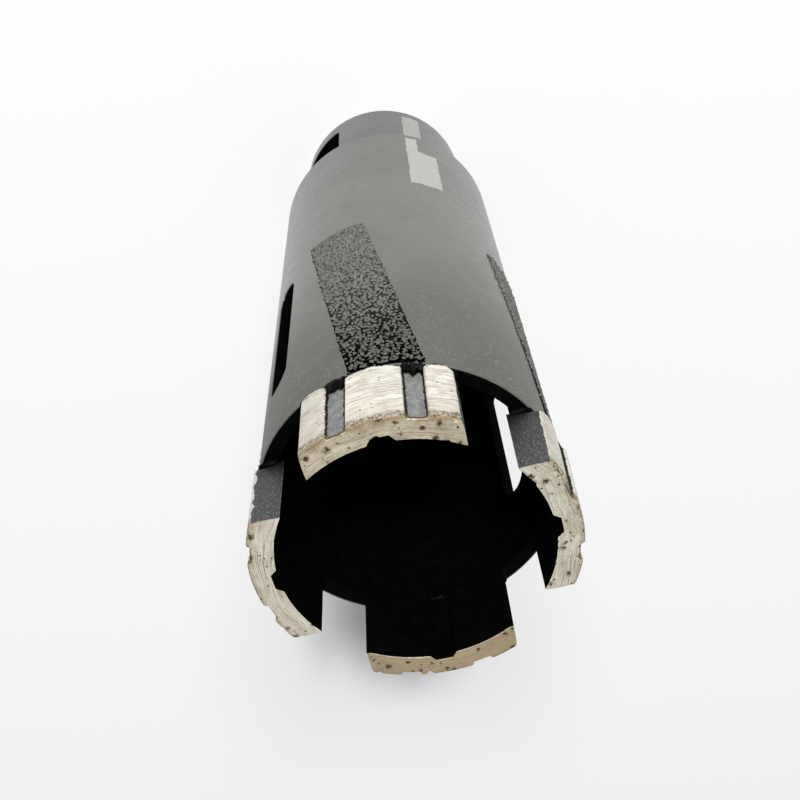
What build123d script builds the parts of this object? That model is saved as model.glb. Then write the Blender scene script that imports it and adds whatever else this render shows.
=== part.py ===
from build123d import *
import os
from math import cos, degrees, radians, sin, sqrt, tan

# Diamond core bit for dry drilling, stood on the end face of its hub with the cutting end up.
# A steel tube carries four diamond segments on its rim and is welded at its rear end to a turned
# hub, whose threaded boss screws onto the spindle of an angle grinder. Behind each segment a
# slanted strip of abrasive grit protects the tube and keeps the hole open.
#
# Lengths are in millimetres and angles in degrees. The origin is the centre of the hub's end
# face, +Z runs along the bit's axis to the cutting end, and +X runs through a side slot.

# ------------------------------------------------------------------ driving dimensions

# barrel: the drawn steel tube
barrel_radius = 24.8
barrel_wall = 2.4
barrel_length = 111.0
barrel_edge_break = 0.4
slot_edge_break = 0.2

# side slots, through which a stuck core is prised out
slot_count = 2
slot_width = 6.2
slot_length = 38.0
slot_setback = 15.5  # from the barrel's rim to the near end of a slot

# diamond segments, which stand on the barrel's rim
segment_count = 4
segment_width = 23.8
segment_height = 14.5
segment_relief_outside = 0.7  # stands proud of the barrel's outer face
segment_relief_inside = 1.1  # stands proud of the barrel's bore
segment_corner_radius = 0.4
segment_lead_angle = 40.7  # from the slot's middle to the first segment's middle

# grooves pressed into the segments, which let water and dust past
outer_groove_mouth = 3.4
outer_groove_floor = 2.5
outer_groove_depth = 0.65
outer_groove_offset = 6.05  # from the segment's middle, measured along the outer face
inner_groove_mouth = 4.2
inner_groove_floor = 2.7
inner_groove_depth = 1.0

# side strips of brazed grit
strip_width = 12.0
strip_length = 57.3
strip_thickness = 0.3
strip_lean_angle = 8.9  # away from the bit's axis
strip_rim_gap = 0.5  # from the barrel's rim to the strip's front end
strip_front_shift = 1.8  # the front end's middle, behind the segment's middle

# hub: spigot, neck, end plate and threaded boss, turned from one bar
neck_length = 32.5
neck_step = 1.7  # from the barrel's bore down to the neck's outer face
neck_wall = 3.5
neck_edge_break = 0.3
spigot_depth = 5.0
end_plate_thickness = 5.0
boss_wall = 4.0
thread_radius = 7.0  # M14 x 2 spindle thread, at its major diameter
thread_length = 20.0
thread_lead_in = 0.6

# windows milled through the neck
window_count = 2
window_width = 18.8
window_sill = 0.5  # above the end plate
window_head = 5.5  # below the barrel's rear end
window_corner_radius = 1.5

# fillet weld between the barrel's rear end and the neck
weld_leg = 2.6
weld_crown = 0.3  # height of the bead's rounded face above a straight one

# ------------------------------------------------------------------ derived dimensions

bore_radius = barrel_radius - barrel_wall
rim_height = neck_length + barrel_length
segment_outer_radius = barrel_radius + segment_relief_outside
segment_inner_radius = bore_radius - segment_relief_inside
neck_radius = bore_radius - neck_step
neck_bore_radius = neck_radius - neck_wall
boss_radius = thread_radius + boss_wall
cut_reach = 2.0 * segment_outer_radius  # long enough to pass through any wall

slot_middle_height = rim_height - slot_setback - slot_length / 2
window_bottom = end_plate_thickness + window_sill
window_height = neck_length - window_head - window_bottom


def radial_plane(angle, height):
    """Plane through the bit's axis whose normal points outwards at an angle, with Y along the axis."""
    outwards = (cos(radians(angle)), sin(radians(angle)), 0)
    sideways = (-sin(radians(angle)), cos(radians(angle)), 0)
    return Plane(origin=(0, 0, height), x_dir=sideways, z_dir=outwards)


# ------------------------------------------------------------------ barrel

with BuildPart() as barrel:
    with BuildSketch(Plane.XY.offset(neck_length)):
        Circle(barrel_radius)
        Circle(bore_radius, mode=Mode.SUBTRACT)
    extrude(amount=barrel_length)
    # break the outer edge of the rear end
    rear_edges = barrel.edges().filter_by(GeomType.CIRCLE).group_by(Axis.Z)[0]
    chamfer(rear_edges.sort_by(SortBy.RADIUS)[-1], length=barrel_edge_break)
    # side slots with round ends
    for slot_index in range(slot_count):
        slot_angle = slot_index * 360 / slot_count
        with BuildSketch(radial_plane(slot_angle, slot_middle_height)):
            SlotOverall(slot_length, slot_width, rotation=90)
        extrude(amount=cut_reach, mode=Mode.SUBTRACT)
    # break the slots' outer edges
    outer_face = barrel.faces().filter_by(GeomType.CYLINDER).sort_by(SortBy.AREA)[-1]
    rear_edge_height = neck_length + barrel_edge_break
    slot_edges = outer_face.edges().filter_by(
        lambda edge: rear_edge_height < edge.center().Z < rim_height
    )
    chamfer(slot_edges, length=slot_edge_break)

barrel.part.label = "barrel"


# ------------------------------------------------------------------ hub

with BuildPart() as hub_adapter:
    # half section of the turned shape, revolved about the bit's axis
    with BuildSketch(Plane.XZ):
        with BuildLine():
            Polyline(
                (thread_radius, 0),
                (neck_radius, 0),
                (neck_radius, neck_length),
                (bore_radius, neck_length),
                (bore_radius, neck_length + spigot_depth),
                (neck_bore_radius, neck_length + spigot_depth),
                (neck_bore_radius, end_plate_thickness),
                (boss_radius, end_plate_thickness),
                (boss_radius, thread_length),
                (thread_radius, thread_length),
                close=True,
            )
        make_face()
    revolve(axis=Axis.Z)
    # break the edge of the end face and cut the thread's lead-in
    end_edges = hub_adapter.edges().filter_by(GeomType.CIRCLE).group_by(Axis.Z)[0]
    chamfer(end_edges.sort_by(SortBy.RADIUS)[-1], length=neck_edge_break)
    chamfer(end_edges.sort_by(SortBy.RADIUS)[0], length=thread_lead_in)
    # windows through the neck, in line with the barrel's slots
    for window_index in range(window_count):
        window_angle = window_index * 360 / window_count
        window_middle_height = window_bottom + window_height / 2
        with BuildSketch(radial_plane(window_angle, window_middle_height).offset(boss_radius)):
            RectangleRounded(window_width, window_height, window_corner_radius)
        extrude(amount=cut_reach, mode=Mode.SUBTRACT)

hub_adapter.part.label = "hub_adapter"


# ------------------------------------------------------------------ weld bead at the barrel's rear end

with BuildPart() as hub_weld_bead:
    with BuildSketch(Plane.XZ):
        with BuildLine():
            corner = (neck_radius, neck_length)
            on_barrel = (neck_radius + weld_leg, neck_length)
            on_neck = (neck_radius, neck_length - weld_leg)
            Polyline(on_neck, corner, on_barrel)
            SagittaArc(on_barrel, on_neck, weld_crown)
        make_face()
    revolve(axis=Axis.Z)

hub_weld_bead.part.label = "hub_weld_bead"


# ------------------------------------------------------------------ diamond segments


def groove_outline(mouth_radius, depth, mouth, floor):
    """Corners of a tapered groove cut from mouth_radius; a negative depth cuts outwards from a bore."""
    flare = (mouth - floor) / 2 / abs(depth)  # how far each side opens for each millimetre out
    overrun = depth / 2
    mouth_half = mouth / 2 + flare * abs(overrun)
    return [
        (mouth_radius + overrun, -mouth_half),
        (mouth_radius + overrun, mouth_half),
        (mouth_radius - depth, floor / 2),
        (mouth_radius - depth, -floor / 2),
    ]


def build_segment(angle):
    """One diamond segment, an arched block with parallel sides, stood on the barrel's rim."""
    half_width = segment_width / 2
    outer_corner = sqrt(segment_outer_radius**2 - half_width**2)
    inner_corner = sqrt(segment_inner_radius**2 - half_width**2)
    groove_angle = degrees(outer_groove_offset / segment_outer_radius)
    seat = Plane.XY.offset(rim_height).rotated((0, 0, angle))
    with BuildPart() as segment:
        with BuildSketch(seat) as section:
            with BuildLine():
                ThreePointArc(
                    (outer_corner, -half_width), (segment_outer_radius, 0), (outer_corner, half_width)
                )
                Line((outer_corner, half_width), (inner_corner, half_width))
                ThreePointArc(
                    (inner_corner, half_width), (segment_inner_radius, 0), (inner_corner, -half_width)
                )
                Line((inner_corner, -half_width), (outer_corner, -half_width))
            make_face()
            fillet(section.vertices(), radius=segment_corner_radius)
        extrude(amount=segment_height)
        with BuildSketch(seat):
            with Locations(Rotation(0, 0, groove_angle), Rotation(0, 0, -groove_angle)):
                Polygon(
                    *groove_outline(
                        segment_outer_radius, outer_groove_depth, outer_groove_mouth, outer_groove_floor
                    ),
                    align=None,
                )
            Polygon(
                *groove_outline(
                    segment_inner_radius, -inner_groove_depth, inner_groove_mouth, inner_groove_floor
                ),
                align=None,
            )
        extrude(amount=segment_height, mode=Mode.SUBTRACT)
    return segment


segment_angles = [segment_lead_angle + index * 360 / segment_count for index in range(segment_count)]
segments = [build_segment(angle) for angle in segment_angles]
for number, segment in enumerate(segments, start=1):
    segment.part.label = f"segment_{number}"


# ------------------------------------------------------------------ side strips


def arc_to_chord(arc):
    """Sideways distance, seen square on, of a point that lies an arc away round the barrel."""
    return barrel_radius * sin(arc / barrel_radius)


def build_side_strip(angle):
    """One slanted strip of grit, as thick as its brazed layer, on the barrel behind a segment."""
    front_height = rim_height - strip_rim_gap
    rear_height = front_height - strip_length
    drift = strip_length * tan(radians(strip_lean_angle))  # arc by which the rear end leans away
    half_drift = drift / 2
    half_width = strip_width / 2
    middle_angle = angle + degrees((half_drift - strip_front_shift) / barrel_radius)
    with BuildPart() as strip:
        with BuildSketch(Plane.XY.offset(rear_height)):
            Circle(barrel_radius + strip_thickness)
            Circle(barrel_radius, mode=Mode.SUBTRACT)
        extrude(amount=strip_length)
        with BuildSketch(radial_plane(middle_angle, rear_height)):
            Polygon(
                (arc_to_chord(half_drift - half_width), 0),
                (arc_to_chord(half_drift + half_width), 0),
                (arc_to_chord(half_width - half_drift), strip_length),
                (arc_to_chord(-half_width - half_drift), strip_length),
                align=None,
            )
        extrude(amount=cut_reach, mode=Mode.INTERSECT)
    return strip


side_strips = [build_side_strip(angle) for angle in segment_angles]
for number, strip in enumerate(side_strips, start=1):
    strip.part.label = f"side_strip_{number}"


# ------------------------------------------------------------------ export

os.makedirs("parts", exist_ok=True)
for piece in [barrel, hub_adapter, hub_weld_bead] + segments + side_strips:
    export_step(piece.part, f"parts/{piece.part.label}.step")
    print(piece.part.label, round(piece.part.volume, 2), "mm3")
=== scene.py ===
"""Looks of a dry diamond core bit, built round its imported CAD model.

The bit stands on its hub's end face. Lengths in the classes are in millimetres and angles in
degrees; a mesh is turned into metres when it becomes a Blender object. +Z runs along the bit's
axis to the cutting end, and +X runs through a side slot.
"""

from __future__ import annotations

import logging
from collections.abc import Callable
from dataclasses import dataclass, field
from enum import Enum
from math import asin, ceil, cos, degrees, hypot, pi, radians, sin, sqrt, tan, tau

import bmesh
import bpy
from bpy.types import ID, GeometryNodeTree, Material, Node, NodeSocket, NodeTree, Object
from mathutils import Matrix, Vector, noise


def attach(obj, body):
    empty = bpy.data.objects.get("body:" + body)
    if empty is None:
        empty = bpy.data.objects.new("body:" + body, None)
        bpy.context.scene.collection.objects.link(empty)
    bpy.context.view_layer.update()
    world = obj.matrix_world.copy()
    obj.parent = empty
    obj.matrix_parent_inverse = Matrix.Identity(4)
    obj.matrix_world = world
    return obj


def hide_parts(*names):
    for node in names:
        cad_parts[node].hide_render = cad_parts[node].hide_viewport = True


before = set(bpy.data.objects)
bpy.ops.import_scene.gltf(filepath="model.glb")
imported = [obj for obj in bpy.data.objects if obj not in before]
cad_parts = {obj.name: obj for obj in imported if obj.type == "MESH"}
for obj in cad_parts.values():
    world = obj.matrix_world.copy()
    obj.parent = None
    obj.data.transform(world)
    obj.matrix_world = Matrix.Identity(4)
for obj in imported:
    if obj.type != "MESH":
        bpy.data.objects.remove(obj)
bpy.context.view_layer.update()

log = logging.getLogger("core_bit")

MM = 0.001
ROOT_BODY = "root"
SPOT = "spot"  # the attribute that holds a segment's own coordinates

# sizes that several pieces share, in mm
BARREL_RADIUS = 24.8
BORE_RADIUS = 22.4
NECK_RADIUS = 20.7
NECK_LENGTH = 32.5
RIM_HEIGHT = 143.5
SEGMENT_HEIGHT = 14.5
GROOVE_ASIDE = 6.05
GROOVE_DEPTH = 0.65

PATCH_REACH = 2.5  # how far round an opening the mesh is fine, in widths of its broken edge
PATCH_SHARES = (0.3, 0.6, 0.85, 1.0)  # where the rings between a patch's border and that lie
MESH_STEP = 1e-6  # heights that are closer than this are one height
MERGE_DISTANCE = 2e-7  # in metres, as the next
SHORTEST_EDGE = 1e-7

Point = tuple[float, float, float]
Colour = tuple[float, float, float]
Places = list[tuple[float, float]]  # arcs aside and heights on a wall
Inputs = dict[str | int, object]  # what a node's inputs are linked to or set to, by name or number


class Slot(Enum):
    """The record's material slots."""

    PAINTED = "painted_steel"
    SEGMENT = "segment_metal"
    ABRASIVE = "abrasive_coat"


class Skin(Enum):
    """The sides of a segment, each with a finish of its own."""

    OUTER = 0
    FACE = 1
    SIDE = 2
    INNER = 3


# ---------------------------- shared helpers


def polar(radius: float, angle: float, height: float) -> Point:
    """Point at a radius and an angle in radians round the bit's axis."""
    return (radius * cos(angle), radius * sin(angle), height)


def spun(x: float, y: float, angle: float) -> tuple[float, float]:
    """A place, turned by an angle in radians round the axis."""
    return x * cos(angle) - y * sin(angle), x * sin(angle) + y * cos(angle)


def clamp(value: float, low: float, high: float) -> float:
    """The value, kept between two limits."""
    return max(low, min(high, value))


def ease(value: float) -> float:
    """Smooth step from 0 to 1 for a value from 0 to 1."""
    t = clamp(value, 0.0, 1.0)
    return t * t * (3.0 - 2.0 * t)


def lumpy(x: float, y: float, z: float) -> float:
    """Smooth noise from -1 to 1 at a place."""
    return noise.noise(Vector((x, y, z)))


def spaced(start: float, end: float, step: float) -> list[float]:
    """Evenly spaced values from start to end, both included, at most a step apart."""
    count = max(1, ceil(abs(end - start) / step - MESH_STEP))
    return [start + (end - start) * index / count for index in range(count + 1)]


def joined(*runs: list[float]) -> list[float]:
    """Runs of values laid end to end, with each shared value kept once."""
    values: list[float] = []
    for run in runs:
        for value in run:
            if not values or abs(value - values[-1]) > MESH_STEP:
                values.append(value)
    return values


def linked(name: str, data: ID) -> Object:
    """A new object that holds the data, in the scene and at the origin."""
    made = bpy.data.objects.new(name, data)
    bpy.context.scene.collection.objects.link(made)
    return made


class MeshDraft:
    """Points in millimetres and faces, gathered before they become one Blender mesh."""

    def __init__(self) -> None:
        """Starts with no points and no faces."""
        self.points: list[Point] = []
        self.spots: list[Point] = []
        self.faces: list[tuple[int, ...]] = []
        self.skins: list[int] = []

    def row(self, points: list[Point], spots: list[Point] | None = None) -> list[int]:
        """Adds points, with their places in the piece's own coordinates, and gives their numbers."""
        first = len(self.points)
        self.points.extend(points)
        self.spots.extend(spots or [(0.0, 0.0, 0.0)] * len(points))
        return list(range(first, len(self.points)))

    def face(self, corners: tuple[int, ...], skin: int = 0) -> None:
        """Adds one face, with the number of its finish."""
        self.faces.append(corners)
        self.skins.append(skin)

    def bridge(self, low: list[int], high: list[int], closed: bool, skin: int = 0) -> None:
        """Joins two rows of as many points by a band of quads.

        Args:
            low: The first row's point numbers.
            high: The second row's point numbers.
            closed: True if the band runs all the way round.
            skin: The number of the band's finish.
        """
        count = len(low) if closed else len(low) - 1
        for index in range(count):
            after = (index + 1) % len(low)
            self.face((low[index], low[after], high[after], high[index]), skin)

    def grid(self, rows: list[list[int]], closed: bool = False, skin: int = 0) -> None:
        """Joins each row to the next."""
        for low, high in zip(rows, rows[1:]):
            self.bridge(low, high, closed, skin)

    def to_object(self, name: str, materials: list[Material], crease: float = 40.0) -> Object:
        """Makes the Blender object, in metres, merged, closed and facing outwards.

        Args:
            name: The piece's name.
            materials: The piece's finishes, by number.
            crease: The angle in degrees above which an edge is shown sharp.

        Returns:
            The linked object, at the origin.
        """
        mesh = bpy.data.meshes.new(name)
        mesh.from_pydata([(x * MM, y * MM, z * MM) for x, y, z in self.points], [], self.faces)
        mesh.polygons.foreach_set("material_index", self.skins)
        layer = mesh.attributes.new(SPOT, "FLOAT_VECTOR", "POINT")
        layer.data.foreach_set("vector", [value for spot in self.spots for value in spot])
        work = bmesh.new()
        work.from_mesh(mesh)
        bmesh.ops.remove_doubles(work, verts=work.verts, dist=MERGE_DISTANCE)
        bmesh.ops.delete(work, geom=[v for v in work.verts if not v.link_faces], context="VERTS")
        bmesh.ops.dissolve_degenerate(work, dist=SHORTEST_EDGE, edges=work.edges)
        bmesh.ops.recalc_face_normals(work, faces=work.faces)
        work.to_mesh(mesh)
        work.free()
        for material in materials:
            mesh.materials.append(material)
        mesh.shade_smooth()
        mesh.set_sharp_from_angle(angle=radians(crease))
        return linked(name, mesh)


def add_node(tree: NodeTree, kind: str, inputs: Inputs, **settings: object) -> Node:
    """Adds a node to a tree of any kind.

    Args:
        tree: The tree.
        kind: The node's type.
        inputs: What each input, by name or number, is linked to or set to.
        settings: The node's own properties.

    Returns:
        The node.
    """
    node = tree.nodes.new(kind)
    for name, setting in settings.items():
        setattr(node, name, setting)
    for name, value in inputs.items():
        feed(tree, node.inputs[name], value)
    return node


def feed(tree: NodeTree, target: NodeSocket, value: object) -> None:
    """Links what gives a value to the target, in order if it's a list, or sets the target's own."""
    if isinstance(value, list):
        for one in value:
            feed(tree, target, one)
        return
    if isinstance(value, Value):
        value = value.socket
    if isinstance(value, NodeSocket):
        tree.links.new(value, target)
    elif isinstance(value, tuple) and len(value) < len(target.default_value):
        target.default_value = (*value, 1.0)
    else:
        target.default_value = value


def sum_of(operation: str, swapped: bool = False) -> Callable[..., Value]:
    """A method that works out a sum of a value and another.

    Args:
        operation: The Math node's operation.
        swapped: True if the other comes first.

    Returns:
        The method.
    """

    def method(self: Value, other: Value | float = 0.0) -> Value:
        """The sum, from a Math node."""
        first, second = (other, self) if swapped else (self, other)
        return self.graph.math(operation, first, second)

    return method


class Value:
    """A number, colour or normal that a material's nodes work out, with the usual signs for sums."""

    def __init__(self, graph: NodeGraph, socket: NodeSocket) -> None:
        """Keeps the socket that gives the value."""
        self.graph = graph
        self.socket = socket

    __add__ = sum_of("ADD")
    __sub__ = sum_of("SUBTRACT")
    __rsub__ = sum_of("SUBTRACT", swapped=True)
    __mul__ = sum_of("MULTIPLY")
    __truediv__ = sum_of("DIVIDE")
    __pow__ = sum_of("POWER")
    __abs__ = sum_of("ABSOLUTE")
    larger = sum_of("MAXIMUM")
    smaller = sum_of("MINIMUM")
    below = sum_of("LESS_THAN")  # 1 where this value is less than the other, and 0 elsewhere

    def limited(self) -> Value:
        """This sum or product, kept between 0 and 1."""
        self.socket.node.use_clamp = True
        return self

    def step(self, start: float, end: float) -> Value:
        """A smooth rise from 0, where this value is start, to 1, where it is end."""
        ends = {"Value": self, "From Min": start, "From Max": end}
        return self.graph.add("ShaderNodeMapRange", ends, interpolation_type="SMOOTHSTEP")

    def span(self, low: float, high: float, to_low: float, to_high: float) -> Value:
        """This value moved evenly from one range to another, and kept in it."""
        ends = {"From Min": low, "From Max": high, "To Min": to_low, "To Max": to_high}
        return self.graph.add("ShaderNodeMapRange", {"Value": self, **ends})


class NodeGraph:
    """A material's nodes, added and linked by short calls."""

    def __init__(self, name: str) -> None:
        """Makes a material that holds a Principled shader and nothing else."""
        self.material = bpy.data.materials.new(name)
        self.material.use_nodes = True
        self.tree = self.material.node_tree
        self.tree.nodes.clear()
        self.shader = self.tree.nodes.new("ShaderNodeBsdfPrincipled")
        add_node(self.tree, "ShaderNodeOutputMaterial", {"Surface": self.shader.outputs["BSDF"]})
        self.place = self.tree.nodes.new("ShaderNodeTexCoord").outputs["Object"]

    def add(self, kind: str, inputs: Inputs, **settings: object) -> Value:
        """Adds a node and gives its first output."""
        return Value(self, add_node(self.tree, kind, inputs, **settings).outputs[0])

    def math(self, operation: str, first: Value | float, second: Value | float = 0.0) -> Value:
        """A Math node's result."""
        return self.add("ShaderNodeMath", {0: first, 1: second}, operation=operation)

    def vector(self, x: Value | float, y: Value | float, z: Value | float) -> Value:
        """A vector made of three values."""
        return self.add("ShaderNodeCombineXYZ", {0: x, 1: y, 2: z})

    def split(self, vector: NodeSocket) -> tuple[Value, Value, Value]:
        """A vector's three values."""
        node = add_node(self.tree, "ShaderNodeSeparateXYZ", {0: vector})
        return tuple(Value(self, socket) for socket in node.outputs)

    def spot(self) -> tuple[Value, Value, Value]:
        """A segment's own coordinates in mm: aside, depth below the outer face, and up."""
        node = add_node(self.tree, "ShaderNodeAttribute", {}, attribute_name=SPOT)
        return self.split(node.outputs["Vector"])

    def cylinder(self) -> tuple[Value, Value, Value]:
        """A place's radius in mm, angle in radians and height in mm."""
        x, y, z = self.split(self.place)
        radius = self.math("SQRT", x * x + y * y) * (1.0 / MM)
        return radius, self.math("ARCTAN2", y, x), z * (1.0 / MM)

    def noise(
        self, scale: float, detail: float = 2.0, rough: float = 0.5, at: Value | None = None
    ) -> Value:
        """A cloudy pattern from 0 to 1.

        Args:
            scale: How many clouds lie side by side in a millimetre, or in a unit of at.
            detail: How many finer layers are laid over it.
            rough: How strong the finer layers are.
            at: The place to read, or the place on the piece.

        Returns:
            The pattern.
        """
        inputs = {"Detail": detail, "Roughness": rough, **self.read_at(scale, at)}
        return self.add("ShaderNodeTexNoise", inputs)

    def waver(
        self,
        low: float,
        high: float,
        scale: float,
        detail: float = 2.0,
        rough: float = 0.5,
        at: Value | None = None,
    ) -> Value:
        """A cloudy pattern that wavers between two values, and is otherwise as noise makes it."""
        return self.noise(scale, detail, rough, at).span(0.3, 0.7, low, high)

    def read_at(self, scale: float, at: Value | None) -> Inputs:
        """A pattern's scale and the place that it reads: the place on the piece, unless given."""
        if at is None:
            return {"Scale": scale / MM, "Vector": self.place}
        return {"Scale": scale, "Vector": at}

    def dots(self, scale: float, chosen: float, size: float, ragged: float = 0.1) -> Value:
        """Scattered ragged dots, from 0 outside to 1 inside.

        Args:
            scale: How many could lie side by side in a millimetre.
            chosen: The share of the places that hold a dot.
            size: A dot's radius, as a share of the space that it has.
            ragged: How uneven a dot's rim is.

        Returns:
            The pattern.
        """
        cells = add_node(self.tree, "ShaderNodeTexVoronoi", self.read_at(scale, None))
        distance = Value(self, cells.outputs["Distance"])
        own = self.add("ShaderNodeSeparateColor", {0: cells.outputs["Color"]})
        uneven = self.waver(-ragged, ragged, scale * 5.0, 2.0, 0.6)
        wide = own.span(0.0, chosen, size, size * 0.5)
        return (wide - (distance + uneven)).step(-0.03, 0.03) * own.below(chosen)

    def mix(self, share: Value | float, first: Value | Colour, second: Value | Colour) -> Value:
        """A colour between two, by a share from 0 to 1."""
        inputs = {0: share, 6: first, 7: second}
        node = add_node(self.tree, "ShaderNodeMix", inputs, data_type="RGBA")
        return Value(self, node.outputs[2])

    def layered(self, base: Value | Colour, *layers: tuple[Value, Value | Colour]) -> Value:
        """Colours laid one by one over a base, each with the share of what's below that it covers."""
        for share, colour in layers:
            base = self.mix(share, base, colour)
        return base

    def bump(self, height: Value, depth: float, under: Value | None = None) -> Value:
        """A bumped normal.

        Args:
            height: The pattern, from 0 to 1.
            depth: How deep the pattern is, in millimetres.
            under: A normal that this one adds to.

        Returns:
            The normal.
        """
        inputs = {"Strength": 1.0, "Distance": depth * MM, "Height": height}
        if under is not None:
            inputs["Normal"] = under
        return self.add("ShaderNodeBump", inputs)

    def dress(self, **sockets: object) -> Material:
        """Feeds the shader's sockets, given with _ for a space, and gives the material."""
        for name, value in sockets.items():
            feed(self.tree, self.shader.inputs[name.replace("_", " ")], value)
        return self.material


class GrowthTree:
    """A Geometry Nodes tree that takes a geometry and named numbers, and gives a geometry."""

    def __init__(self, name: str, numbers: tuple[str, ...], seeded: bool = False) -> None:
        """Makes the tree and its inputs.

        Args:
            name: The tree's name.
            numbers: The names of its number inputs.
            seeded: True if it takes a seed as well.
        """
        self.tree = bpy.data.node_groups.new(name, "GeometryNodeTree")
        face = self.tree.interface
        face.new_socket("Geometry", in_out="INPUT", socket_type="NodeSocketGeometry")
        for number in numbers:
            face.new_socket(number, in_out="INPUT", socket_type="NodeSocketFloat")
        if seeded:
            face.new_socket("Seed", in_out="INPUT", socket_type="NodeSocketInt")
        face.new_socket("Geometry", in_out="OUTPUT", socket_type="NodeSocketGeometry")
        self.start = self.tree.nodes.new("NodeGroupInput")

    def given(self, name: str) -> NodeSocket:
        """One of the tree's inputs."""
        return self.start.outputs[name]

    def add(self, kind: str, inputs: Inputs, **settings: object) -> NodeSocket:
        """Adds a node and gives its first output."""
        return add_node(self.tree, kind, inputs, **settings).outputs[0]

    def finished(self, geometry: NodeSocket, material: Material) -> GeometryNodeTree:
        """Makes what was instanced real, sets the finish, and gives the tree.

        Args:
            geometry: What the tree has grown.
            material: The finish.

        Returns:
            The tree, ready for a modifier.
        """
        real = self.add("GeometryNodeRealizeInstances", {"Geometry": geometry})
        inputs = {"Geometry": real, "Material": material}
        painted = self.add("GeometryNodeSetMaterial", inputs)
        add_node(self.tree, "NodeGroupOutput", {"Geometry": painted})
        return self.tree


# ---------------------------- finishes


@dataclass(frozen=True)
class PrintBlock:
    """A plain block of light print, as a stretch of angle in degrees and of height in mm."""

    angle_from: float
    angle_to: float
    low: float
    high: float
    strength: float = 1.0

    def inside(self, turn: Value, height: Value) -> Value:
        """How far a place lies inside the block's nearest edge, in degrees or in mm."""
        middle, half = (self.angle_from + self.angle_to) / 2, (self.angle_to - self.angle_from) / 2
        across = half - abs(turn - middle)
        up = (self.high - self.low) / 2 - abs(height - (self.low + self.high) / 2)
        return across.smaller(up)


@dataclass(frozen=True)
class SatinPaint:
    """Satin black paint sprayed on the steel, with a fine orange-peel skin and pale dust."""

    name: str = "satin_black_paint"
    colour: Colour = (0.074, 0.076, 0.0665)
    dusty: Colour = (0.116, 0.119, 0.106)
    speck_and_glint: Colour = (0.34, 0.34, 0.32)
    painted_shade: Colour = (0.026, 0.027, 0.025)
    sand: Colour = (0.23, 0.23, 0.205)
    roughness: float = 0.27
    front_zone: tuple[float, float] = (88.0, 143.0)
    front_painted_shade: float = 0.30
    rear_zone: tuple[float, float] = (78.0, 48.0)
    rear_painted_shade: float = 0.28
    peel_size: float = 0.7
    peel_depth: float = 0.006
    grain_depth: float = 0.008
    print_colour: Colour = (0.30, 0.30, 0.285)
    prints: tuple[PrintBlock, ...] = ()

    def print_cover(self, graph: NodeGraph) -> Value | float:
        """How much print covers a place, from 0 to 1."""
        _, angle, height = graph.cylinder()
        turn = angle * (180.0 / pi)
        worn = graph.waver(-0.35, 0.35, 0.6, 3.0)
        cover = 0.0
        for block in self.prints:
            share = (block.inside(turn, height) + worn).step(-0.15, 0.35) * block.strength
            cover = share.larger(cover)
        return cover

    def material(self) -> Material:
        """The paint as a material."""
        graph = NodeGraph(self.name)
        cloud = graph.noise(0.05, 3.0).span(0.35, 0.7, 0.0, 0.55)
        dust = graph.noise(3.2, 2.0, 0.7).span(0.52, 0.74, 0.0, 0.9)

        # near the brazed end the paint is duller and sprinkled with fine sand; towards both ends it
        # is darker, which is painted shade
        _, _, height = graph.cylinder()
        front, rear = height.step(*self.front_zone), height.step(*self.rear_zone)
        sprinkled = graph.noise(2.0, 2.0, 0.8).span(0.585, 0.66, 0.0, 0.8)
        patchy = graph.noise(0.16, 3.0).span(0.40, 0.62, 0.25, 1.0)
        colour = graph.layered(
            self.colour,
            (cloud + dust, self.dusty),
            (graph.dots(1.1, 0.10, 0.13) * 0.35, self.speck_and_glint),
            # painted shade: the paint darkens towards the brazed end and towards the hub end
            (front * self.front_painted_shade, self.painted_shade),
            (rear * self.rear_painted_shade, self.painted_shade),
            (sprinkled * patchy * front, self.sand),
        )
        rough = graph.waver(self.roughness - 0.03, self.roughness + 0.05, 0.5, 3.0) + front * 0.30
        if self.prints:
            colour = graph.mix(self.print_cover(graph), colour, self.print_colour)
        peel = graph.bump(graph.noise(1.0 / self.peel_size), self.peel_depth)
        normal = graph.bump(graph.noise(4.5, 3.0, 0.65), self.grain_depth, peel)
        return graph.dress(Base_Color=colour, Roughness=rough, Normal=normal, IOR=1.5)


@dataclass(frozen=True)
class BorePaintAndShade:
    """Thin dead-flat black paint inside the tube and the hub and on every cut wall, near black as
    painted shade.
    """

    name: str = "black_bore_paint_and_painted_shade"
    colour: Colour = (0.0009, 0.0010, 0.0008)
    worn: Colour = (0.0021, 0.0022, 0.0019)
    roughness: float = 0.72
    gloss: float = 0.01

    def material(self) -> Material:
        """The paint as a material."""
        graph = NodeGraph(self.name)
        patch = graph.noise(0.4, 4.0).span(0.45, 0.75, 0.0, 1.0)
        return graph.dress(
            Base_Color=graph.mix(patch, self.colour, self.worn),
            Roughness=graph.waver(self.roughness - 0.08, self.roughness + 0.08, 1.5),
            Normal=graph.bump(graph.noise(2.2, 3.0, 0.6), 0.02),
            Specular_IOR_Level=self.gloss,
        )


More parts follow.
